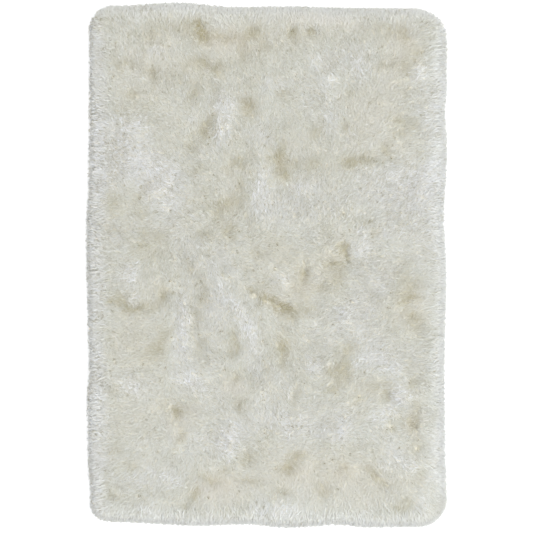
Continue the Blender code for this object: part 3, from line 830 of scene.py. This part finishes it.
def end_in_pits(x, y, way, reach):
    """Strands that would lie over a pit end in it. Gives their reach, and 1 for each of them."""
    reach = reach.copy()
    pitted = np.zeros_like(x)
    for pit in all_pits():
        along, across = along_and_across(pit.x - x, pit.y - y, *way)
        beside = np.abs(across) < pit.radius
        hit = beside & (along > PIT_TAKES_FROM * reach) & (along < reach + pit.radius)
        reach[hit] = along[hit]
        pitted[hit] = 1
    return reach, pitted


def end_at_edge(x, y, way, reach):
    """The reach of strands with these roots, which end a little past the unrolled edge."""
    depth, normal_x, normal_y = edge_of(x, y)
    outward = np.maximum(way[0] * normal_x + way[1] * normal_y, LEAST_OUTWARD)
    shortfall = RIM_SHORTFALL * rng.uniform(0, 1, len(x)) ** SHORTFALL_POWER
    return np.minimum(reach, np.maximum(depth + RIM_OVERHANG - shortfall, LEAST_REACH) / outward)


def darkened(share):
    """How much painted shadow single strands get, each by its own chance: 0 for most, and up to 1."""
    return (rng.uniform(0, 1, len(share)) < share) * rng.uniform(LEAST_DARK, 1, len(share))


def lock_gap_shadow(border, front, gathered):
    """The painted shadow on strands whose tips lie just in front of a lock."""
    gap_shadow = 1 - smooth_step(border, LOCK_GAP_FULL * LOCK_GAP, LOCK_GAP)
    gap_shadow *= smooth_step(-front, 0.0, LOCK_GAP_BACK)
    return gap_shadow * (LOCK_GAP_DEPTH * darkened(LOCK_GAP_SHARE * gathered))


def aside(way):
    """The way to the left of each way."""
    return np.array((-way[1], way[0]))


def strand_ways(kind, x, y, tuft_turn):
    """For strands with these middles: the lay of the pile there, their own ways, and their reach."""
    lay = lay_direction(x, y)
    calm = RIM_CALM + (1 - RIM_CALM) * smooth_step(edge_of(x, y)[0], RIM_COMB_FULL, RIM_COMB_FROM)
    turn = np.radians(tuft_turn + rng.normal(0, HEADING_SPREAD, len(x))) * calm
    way = lay * np.cos(turn) + aside(lay) * np.sin(turn)
    reach = kind.reach * (1 + REACH_SPREAD * rng.uniform(-1, 1, len(x)))
    reach *= 1 - HOLLOW_SHORTENS * np.clip(patch_shade(x, y), -MOUND_MOST, 1)
    return lay, way, reach


def strand_stations(kind, root, way, tuft, lay, reach, lift):
    """The stations of strands from their roots on, drawn to their tufts, and how much painted shade of the
    rim's foot each station gets.
    """
    curl = kind.curl * rng.normal(0, 1, len(reach))
    stations = []
    grey = []
    for station in kind.stations:
        place = root + way * reach * station.reach + aside(way) * curl * station.reach**2
        pull = TUFT_PULL * station.clump * station.clump
        place += (tuft - lay * reach / 2 + lay * reach * station.reach - place) * pull
        x, y = drawn_together(*place)
        height = -kind.rise + (kind.rise + lift + lock_rise(x, y)) * station.rise
        stations.append(laid(x, y, height))
        grey.append(painted_foot_shade_at(x, y))
    path = np.stack(stations, axis=1)
    path[:, :, 2] = np.maximum(path[:, :, 2], FLOOR_CLEARANCE)
    return path, np.stack(grey, axis=1)


def make_paths(kind, x, y):
    """For the strands whose middles are given: their stations, girths, and what their colour goes by."""
    count = len(x)
    tuft, tuft_turn, tuft_lift = nearest_tuft(x, y)
    crisp = crisp_at(x, y)
    near_floor = 1 - smooth_step(edge_of(x, y)[0], HALF_RIM, RIM_LENGTH)
    lay, way, reach = strand_ways(kind, x, y, tuft_turn)
    root = np.array((x, y)) - way * reach / 2
    reach = end_at_edge(*root, way, reach)
    reach, pit = end_in_pits(*root, way, reach)
    tip = root + way * reach
    gathered = (1 + smooth_noise(*tip, GATHERINGS)) * crisp**2
    speck = darkened(SPECK_SHARE * gathered)
    lift = TIP_LIFT + TIP_LIFT_SPREAD * crisp * rng.normal(0, 1, count) + tuft_lift * crisp
    lift = np.minimum(lift, TIP_LIFT_MOST) * smooth_step(edge_of(*root)[0], 0.0, HALF_RIM)
    lift -= PIT_DROP * pit + SPECK_DROP * speck
    border, front, lock_tone, _, _ = LOCKS.at(*tip)
    gap_shadow = lock_gap_shadow(border, front, gathered)
    path, grey = strand_stations(kind, root, way, tuft, lay, reach, lift)
    size = rng.uniform(LEAST_SIZE, MOST_SIZE, count)
    ridge = 1 + RIM_RIDGE * np.minimum(rim_share(*root, "crisp"), 0)
    tone = rng.uniform(0, 1, count) ** TONE_POWER * (TONE_PLAIN + TONE_CRISP * crisp)
    lock_shade = lock_tone * (LOCK_SHADE * crisp + RIM_LOCK_SHADE * near_floor)
    # The colour goes by painted shade and highlight (`shade`), painted shadow in pits, specks and the gaps
    # in front of locks (`deep`), and painted shade at the rim's foot (`edge`).
    colour = {
        "tone": tone,
        "shade": strand_shade(*tip, *way) + lock_shade,
        "tint": tint_at(*tip),
        "deep": np.maximum(np.maximum(pit, speck), gap_shadow),
        "edge": grey,
    }
    return path, np.stack((kind.width * size, kind.thickness * size * ridge), axis=1), colour


def strand_rings(kind, path, girth):
    """The vertices of the strands: three corners at each station but the last, then the tip."""
    along = np.gradient(path, axis=1)
    along /= np.maximum(np.linalg.norm(along, axis=2, keepdims=True), TINY)
    side = np.cross(along, np.array((0.0, 0.0, 1.0)))
    side /= np.maximum(np.linalg.norm(side, axis=2, keepdims=True), TINY)
    above = np.cross(side, along)
    share = np.array([station.girth for station in kind.stations])[None, :, None]
    width = share * girth[:, 0, None, None]
    thickness = share * girth[:, 1, None, None]
    corners = (path - side * width / 2, path + above * thickness, path + side * width / 2)
    rings = np.stack(corners, axis=2)[:, :-1]
    rings[..., 2] = np.maximum(rings[..., 2], FLOOR_CLEARANCE / 2)
    body = rings.reshape(len(path), -1, 3)
    return np.concatenate((body, path[:, -1:]), axis=1)


def strand_faces(rows):
    """The faces of one strand, as corner lists, and each corner's place in the strand's map cell."""
    rings = len(rows) - 1
    faces = []
    cells = []
    for ring in range(rings):
        low = CELL_LOW + CELL_LONG * rows[ring].reach
        high = CELL_LOW + CELL_LONG * rows[ring + 1].reach
        for side in range(SIDES):
            here = ring * SIDES + side
            there = ring * SIDES + (side + 1) % SIDES
            left = CELL_LEFT + CELL_WIDE * side / SIDES
            right = CELL_LEFT + CELL_WIDE * (side + 1) / SIDES
            if ring < rings - 1:
                faces.append((here, there, there + SIDES, here + SIDES))
                cells.append(((left, low), (right, low), (right, high), (left, high)))
            else:
                faces.append((here, there, rings * SIDES))
                cells.append(((left, low), (right, low), ((left + right) / 2, high)))
    return faces, cells


def put_attribute(mesh, name, values):
    attribute = mesh.attributes.new(name, "FLOAT", "POINT")
    attribute.data.foreach_set("value", np.asarray(values, np.float32))


def shown(name, mesh, material):
    mesh.materials.append(material)
    piece = bpy.data.objects.new(name, mesh)
    bpy.context.scene.collection.objects.link(piece)
    return piece


def put_map(mesh, count, cells):
    """A map of the strands, each in its own cell of a square grid."""
    columns = int(np.ceil(count**0.5))
    cell = np.stack((np.arange(count) % columns, np.arange(count) // columns), axis=1)
    places = np.concatenate([np.array(corner) for corner in cells])
    flat = (cell[:, None, :] + places[None, :, :]) / columns
    layer = mesh.uv_layers.new(name="OFBake", do_init=False)
    layer.uv.foreach_set("vector", flat.astype(np.float32).ravel())


def make_pile_piece(name, kind, path, girth, colour, material):
    """One piece of the pile: its strands joined in one mesh, each tapered, with its root in the bed."""
    count = len(path)
    verts = strand_rings(kind, path, girth)
    faces, cells = strand_faces(kind.stations)
    per_strand = verts.shape[1]
    sizes = np.tile([len(face) for face in faces], count)
    pattern = np.concatenate([np.array(face) for face in faces])
    corners = (np.arange(count)[:, None] * per_strand + pattern[None, :]).ravel()
    mesh = bpy.data.meshes.new(name)
    mesh.vertices.add(count * per_strand)
    mesh.vertices.foreach_set("co", verts.astype(np.float32).ravel())
    mesh.loops.add(len(corners))
    mesh.loops.foreach_set("vertex_index", corners.astype(np.int32))
    mesh.polygons.add(len(sizes))
    starts = np.concatenate(([0], np.cumsum(sizes)[:-1]))
    mesh.polygons.foreach_set("loop_start", starts.astype(np.int32))
    mesh.update(calc_edges=True)
    mesh.shade_flat()
    put_map(mesh, count, cells)
    along = [station.reach for station in kind.stations[:-1] for _ in range(SIDES)] + [1.0]
    put_attribute(mesh, "along", np.tile(along, count))
    for word, values in colour.items():
        if values.ndim == 1:
            put_attribute(mesh, word, np.repeat(values, per_strand))
        else:
            body = np.repeat(values[:, :-1], SIDES, axis=1)
            put_attribute(mesh, word, np.concatenate((body, values[:, -1:]), axis=1).ravel())
    return shown(name, mesh, material)


# ------------------------ bed and ground cloth


def new_object(name, verts, faces, material):
    mesh = bpy.data.meshes.new(name)
    mesh.from_pydata([tuple(vert) for vert in verts], [], faces)
    mesh.update()
    return shown(name, mesh, material)


def band(low, high, count):
    """The faces between two loops of vertices, from the first vertex of each."""
    faces = []
    for here in range(count):
        there = (here + 1) % count
        faces.append((low + here, low + there, high + there, high + here))
    return faces


def unrolled_loop(count, depth):
    """Points round the unrolled plane, this deep inside its edge."""
    x, y = outline_loop(count, 0.0)
    _, normal_x, normal_y = edge_of(x, y)
    out = UNROLLED - depth - bulge(x, y, normal_x, normal_y)
    return x + normal_x * out, y + normal_y * out


def make_bed(material):
    """The matted fibre under the strands: a lumpy closed body on the ground cloth."""
    rings = [unrolled_loop(BED_STATIONS, depth) for depth in BED_RIM_ARCS]
    inner_x, inner_y = jittered_lattice(RUG_WIDTH / 2, RUG_LENGTH / 2, BED_LATTICE, BED_JITTER, BED_SEED)
    depth, _, _ = edge_of(inner_x, inner_y)
    inside = depth > BED_RIM_ARCS[-1] + BED_LATTICE / 2
    inner_x = inner_x[inside]
    inner_y = inner_y[inside]
    flat = [Vector(place) for place in zip(*rings[-1])] + [Vector(place) for place in zip(inner_x, inner_y)]
    only_inside = 1
    filled = delaunay_2d_cdt(flat, [], [list(range(BED_STATIONS))], only_inside, 0.00001)
    x = np.concatenate([ring[0] for ring in rings] + [inner_x])
    y = np.concatenate([ring[1] for ring in rings] + [inner_y])
    top = laid(x, y, -BED_DEPTH + smooth_noise(x, y, BED_LUMPS))
    foot = top[:BED_STATIONS].copy()
    foot[:, 2] = BED_FOOT
    top[:, 2] = np.maximum(top[:, 2], BED_FOOT + BED_LEAST_DEPTH)
    faces = [tuple(reversed(range(BED_STATIONS)))]
    for ring in range(len(rings)):
        faces += band(ring * BED_STATIONS, (ring + 1) * BED_STATIONS, BED_STATIONS)
    shift = len(rings) * BED_STATIONS
    for face in filled[2]:
        faces.append(tuple(index + shift for index in face))
    bed = new_object("pile_bed", np.concatenate((foot, top)), faces, material)
    # The bed gets the hollows' painted shade too.
    shade = shade_at(x, y)
    put_attribute(bed.data, "shade", np.concatenate((shade[:BED_STATIONS], shade)))
    bed.data.shade_smooth()
    return bed


def make_cloth(material):
    """The woven ground cloth that the pile is tufted through, flat on the floor."""
    x, y = outline_loop(CLOTH_STATIONS, CLOTH_INSET)
    low = np.stack((x, y, np.zeros_like(x)), axis=1) - CENTRE
    high = low + (0.0, 0.0, CLOTH_THICKNESS)
    faces = [tuple(reversed(range(CLOTH_STATIONS))), tuple(range(CLOTH_STATIONS, 2 * CLOTH_STATIONS))]
    faces += band(0, CLOTH_STATIONS, CLOTH_STATIONS)
    return new_object("ground_cloth", np.concatenate((low, high)), faces, material)


# ------------------------ materials


def new_material(name):
    material = bpy.data.materials.new(name)
    material.use_nodes = True
    return material, material.node_tree, material.node_tree.nodes["Principled BSDF"]


def wire(tree, node, inputs):
    """Set a node's inputs: a socket is linked, and anything else is the input's own value."""
    for name, value in inputs.items():
        if isinstance(value, bpy.types.NodeSocket):
            tree.links.new(value, node.inputs[name])
        else:
            node.inputs[name].default_value = value
    return node


def add_node(tree, kind, inputs):
    return wire(tree, tree.nodes.new("ShaderNode" + kind), inputs)


def mix_colour(tree, share, low, high):
    """A colour between two colours or sockets, by a socket's share."""
    mix = add_node(tree, "Mix", {"Factor": share})
    mix.data_type = "RGBA"
    for name, value in (("A", low), ("B", high)):
        socket = next(s for s in mix.inputs if s.name == name and s.type == "RGBA")
        if isinstance(value, tuple):
            socket.default_value = (*value, 1.0)
        else:
            tree.links.new(value, socket)
    return next(s for s in mix.outputs if s.type == "RGBA")


def attribute(tree, name):
    node = tree.nodes.new("ShaderNodeAttribute")
    node.attribute_name = name
    return node.outputs["Fac"]


def remap(tree, value, from_low, from_high, to_low, to_high, easing="SMOOTHSTEP"):
    inputs = {"From Min": from_low, "From Max": from_high, "To Min": to_low, "To Max": to_high}
    node = add_node(tree, "MapRange", {"Value": value, **inputs})
    node.interpolation_type = easing
    return node.outputs["Result"]


def product(tree, first, second):
    node = add_node(tree, "Math", {0: first, 1: second})
    node.operation = "MULTIPLY"
    return node.outputs[0]


def bumped(tree, height, strength, distance):
    bump = add_node(tree, "Bump", {"Strength": strength, "Distance": distance, "Height": height})
    return bump.outputs["Normal"]


# What the yarn's colour is mixed with, one after another: each goes by one of the strands' values,
# from none of the colour where that is 0 to `share` of it where it is `full`.
Dye = namedtuple("Dye", "value full share easing colour")
DYES = (
    Dye("tone", 1.0, 0.62, "SMOOTHSTEP", (0.50, 0.49, 0.41)),
    Dye("tint", 1.6, 0.27, "LINEAR", (0.685, 0.618, 0.520)),
    Dye("tint", -3.0, 0.90, "LINEAR", (0.702, 0.710, 0.742)),
    # `edge` is the painted shade at the rim's foot.
    Dye("edge", 1.0, 0.55, "LINEAR", (0.43, 0.44, 0.43)),
)


def strand_material():
    """Soft bright yarn, cool white towards the tips; painted shade makes it warmer at the roots and in the
    hollows.
    """
    material, tree, shader = new_material("shag_yarn")
    shade = attribute(tree, "shade")
    # Painted highlight on the mounds (`lit`) and painted shade in the hollows (`sunk`); the roots are
    # painted darker and warmer for the shade deep in the pile.
    lit = remap(tree, shade, -0.75, 0.0, 0.0, 1.0, "LINEAR")
    sunk = remap(tree, shade, 0.0, 1.4, 0.0, 1.0, "LINEAR")
    tip = mix_colour(tree, lit, (0.883, 0.900, 0.947), (0.704, 0.714, 0.682))
    tip = mix_colour(tree, sunk, tip, (0.418, 0.385, 0.250))
    root = mix_colour(tree, lit, (0.790, 0.805, 0.805), (0.638, 0.643, 0.588))
    root = mix_colour(tree, sunk, root, (0.350, 0.310, 0.170))
    along = attribute(tree, "along")
    colour = mix_colour(tree, remap(tree, along, 0.15, 0.75, 0.0, 1.0), root, tip)
    for dye in DYES:
        share = remap(tree, attribute(tree, dye.value), 0.0, dye.full, 0.0, dye.share, dye.easing)
        colour = mix_colour(tree, share, colour, dye.colour)
    uv = tree.nodes.new("ShaderNodeUVMap")
    uv.uv_map = "OFBake"
    stretch = add_node(tree, "Mapping", {"Scale": (900.0, 160.0, 1.0), "Vector": uv.outputs["UV"]})
    fibres = add_node(tree, "TexNoise", {"Scale": 1.0, "Detail": 3.0, "Vector": stretch.outputs["Vector"]})
    streak = remap(tree, fibres.outputs["Fac"], 0.35, 0.70, 0.0, 0.10)
    colour = mix_colour(tree, streak, colour, (0.60, 0.58, 0.51))
    # Painted shadow in pits, specks and the gaps in front of locks, strongest towards the tips.
    deep = product(tree, attribute(tree, "deep"), remap(tree, along, 0.45, 0.85, 0.0, 1.0))
    colour = mix_colour(tree, deep, colour, (0.23, 0.20, 0.10))
    wire(tree, shader, {
        "Base Color": colour,
        "Normal": bumped(tree, fibres.outputs["Fac"], 0.35, 0.0006),
        "Roughness": 0.62,
        "Specular IOR Level": 0.35,
        "Subsurface Weight": 1.0,
        "Subsurface Radius": (1.0, 0.95, 0.85),
        "Subsurface Scale": 0.001,
        "Sheen Weight": 0.15,
        "Sheen Roughness": 0.5,
    })
    return material


def bed_material():
    """Matted fibre with a fine tangle, painted warm and dull for the shade deep in the pile."""
    material, tree, shader = new_material("matted_fibre")
    place = tree.nodes.new("ShaderNodeTexCoord").outputs["Object"]
    tangle = add_node(tree, "TexNoise", {"Scale": 420.0, "Detail": 4.0, "Distortion": 1.2, "Vector": place})
    share = remap(tree, tangle.outputs["Fac"], 0.3, 0.7, 0.0, 1.0)
    colour = mix_colour(tree, share, (0.68, 0.65, 0.55), (0.75, 0.73, 0.66))
    # Painted shade of the hollows, as on the strands.
    sunk = remap(tree, attribute(tree, "shade"), 0.0, 1.05, 0.0, 1.0, "LINEAR")
    colour = mix_colour(tree, sunk, colour, (0.44, 0.41, 0.28))
    normal = bumped(tree, tangle.outputs["Fac"], 0.6, 0.001)
    wire(tree, shader, {"Base Color": colour, "Normal": normal, "Roughness": 0.9})
    return material


def cloth_material():
    """A plain woven ground cloth: two crossing waves of yarn, unbleached."""
    material, tree, shader = new_material("woven_ground")
    place = tree.nodes.new("ShaderNodeTexCoord").outputs["Object"]
    waves = []
    for direction in ("X", "Y"):
        wave = add_node(tree, "TexWave", {"Scale": 62.0, "Distortion": 0.4, "Detail": 1.0, "Vector": place})
        wave.wave_type = "BANDS"
        wave.bands_direction = direction
        waves.append(wave.outputs["Fac"])
    weave = product(tree, *waves)
    share = remap(tree, weave, 0.0, 0.6, 0.0, 1.0)
    colour = mix_colour(tree, share, (0.47, 0.42, 0.32), (0.74, 0.69, 0.57))
    normal = bumped(tree, weave, 0.8, 0.001)
    wire(tree, shader, {"Base Color": colour, "Normal": normal, "Roughness": 0.85})
    return material


def floor_material():
    material, tree, shader = new_material("pale_floor")
    wire(tree, shader, {"Base Color": (0.93, 0.93, 0.93, 1.0), "Roughness": 0.9})
    return material


# ------------------------ stage


def make_floor():
    bpy.ops.mesh.primitive_plane_add(size=FLOOR_SIZE, location=(0, 0, -FLOOR_DROP))
    floor = bpy.context.object
    floor.name = "floor"
    floor.data.materials.append(floor_material())


def area_light(name, place, size, energy):
    light = bpy.data.lights.new(name, "AREA")
    light.shape = "SQUARE"
    light.size = size
    light.energy = energy
    light.color = LIGHT_COLOUR
    lamp = bpy.data.objects.new(name, light)
    lamp.location = place
    lamp.rotation_euler = (-Vector(place)).to_track_quat("-Z", "Y").to_euler()
    bpy.context.scene.collection.objects.link(lamp)


def make_lights():
    area_light("key", (6.4, -2.4, 8.0), 2.2, 506.0)
    area_light("fill", (-5.6, 3.2, 8.0), 6.0, 118.0)
    world = bpy.data.worlds.new("studio")
    world.use_nodes = True
    backdrop = world.node_tree.nodes["Background"]
    wire(world.node_tree, backdrop, {"Color": (*LIGHT_COLOUR, 1.0), "Strength": WORLD_STRENGTH})
    scene = bpy.context.scene
    scene.world = world
    scene.view_settings.view_transform = "Standard"
    scene.cycles.diffuse_bounces = 8
    scene.cycles.max_bounces = 12


def make_camera():
    """The camera looks straight down, as in the photo."""
    data = bpy.data.cameras.new("camera")
    data.lens = LENS
    data.sensor_width = SENSOR
    camera = bpy.data.objects.new("camera", data)
    camera.location = (CAMERA_SHIFT_X, CAMERA_SHIFT_Y, FOCUS_HEIGHT + VIEW_WIDTH * LENS / SENSOR)
    bpy.context.scene.collection.objects.link(camera)
    bpy.context.scene.camera = camera


# ------------------------ the rug


def make_strands(kind, seed, material):
    x, y = strand_middles(kind, seed)
    path, girth, colour = make_paths(kind, x, y)
    made = []
    ends = np.linspace(0, len(path), kind.pieces + 1).astype(int)
    for number, (first, last) in enumerate(zip(ends, ends[1:]), start=1):
        part = {word: values[first:last] for word, values in colour.items()}
        name = f"{kind.name}_{number}"
        made.append(make_pile_piece(name, kind, path[first:last], girth[first:last], part, material))
    return made


def make_rug():
    yarn = strand_material()
    pile = []
    for seed, kind in enumerate(KINDS, start=STRAND_SEED):
        pile += make_strands(kind, seed, yarn)
    bed = make_bed(bed_material())
    cloth = make_cloth(cloth_material())
    for piece in [cloth, bed] + pile:
        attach(piece, "root")
    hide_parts("shag_rug")


make_camera()
make_lights()
make_floor()
make_rug()
